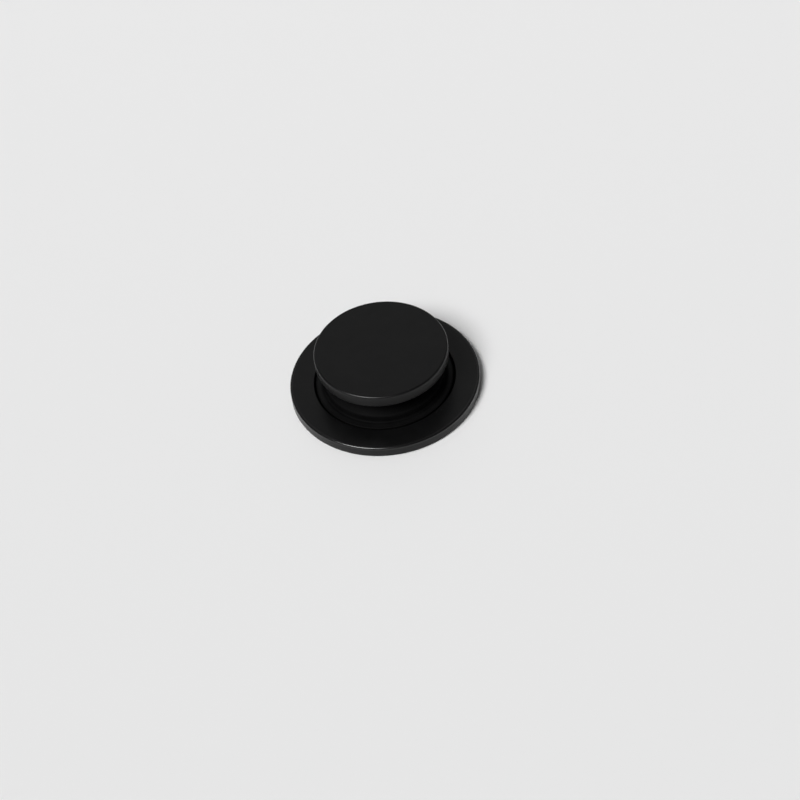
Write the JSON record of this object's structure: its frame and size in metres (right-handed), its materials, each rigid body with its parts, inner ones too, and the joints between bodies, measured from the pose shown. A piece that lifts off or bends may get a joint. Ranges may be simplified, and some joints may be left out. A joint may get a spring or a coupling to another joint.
{
  "type": "collapsible phone grip",
  "caption": "Round collapsible phone grip: a flat cap on a soft folding accordion, which is set level in a flat magnetic base and takes the cap when folded.",
  "frame": {"origin": "centre of the face that lies against the phone, on the axis of the grip", "axes": "+Z along the axis of the grip from the phone towards the cap, with the grip expanded; +X through the middle of a lug of the cap's turn lock"},
  "size_m": [0.058, 0.058, 0.016],
  "materials": {
    "base_plastic": "fine moulded satin",
    "plate_plastic": "moulded matte",
    "pad_soft": "soft matte",
    "shield_steel": "rolled",
    "magnet_plating": "nickel plated",
    "accordion_soft": "soft matte",
    "neck_plastic": "moulded matte",
    "cap_plastic": "fine moulded satin"
  },
  "bodies": {
    "base": {"base_housing": "base_plastic", "base_plate": "plate_plastic", "contact_pad": "pad_soft", "shield_ring": "shield_steel", "magnet_01": "magnet_plating", "magnet_02": "magnet_plating", "magnet_03": "magnet_plating", "magnet_04": "magnet_plating", "magnet_05": "magnet_plating", "magnet_06": "magnet_plating", "magnet_07": "magnet_plating", "magnet_08": "magnet_plating", "magnet_09": "magnet_plating", "magnet_10": "magnet_plating", "magnet_11": "magnet_plating", "magnet_12": "magnet_plating", "magnet_13": "magnet_plating", "magnet_14": "magnet_plating", "magnet_15": "magnet_plating", "magnet_16": "magnet_plating", "magnet_17": "magnet_plating", "magnet_18": "magnet_plating", "accordion": "accordion_soft"},
    "neck": {"neck_ring": "neck_plastic"},
    "cap": {"top_cap": "cap_plastic"}
  },
  "joints": [
    {"name": "collapse", "type": "slide", "parent": "base", "child": "neck", "axis": [0, 0, 1], "range_m": [-0.0085, 0], "deforming": ["accordion"]},
    {"name": "cap_turn", "type": "hinge", "parent": "neck", "child": "cap", "pos_m": [0, 0, 0.0147], "axis": [0, 0, 1], "range_deg": [0, 90]}
  ]
}
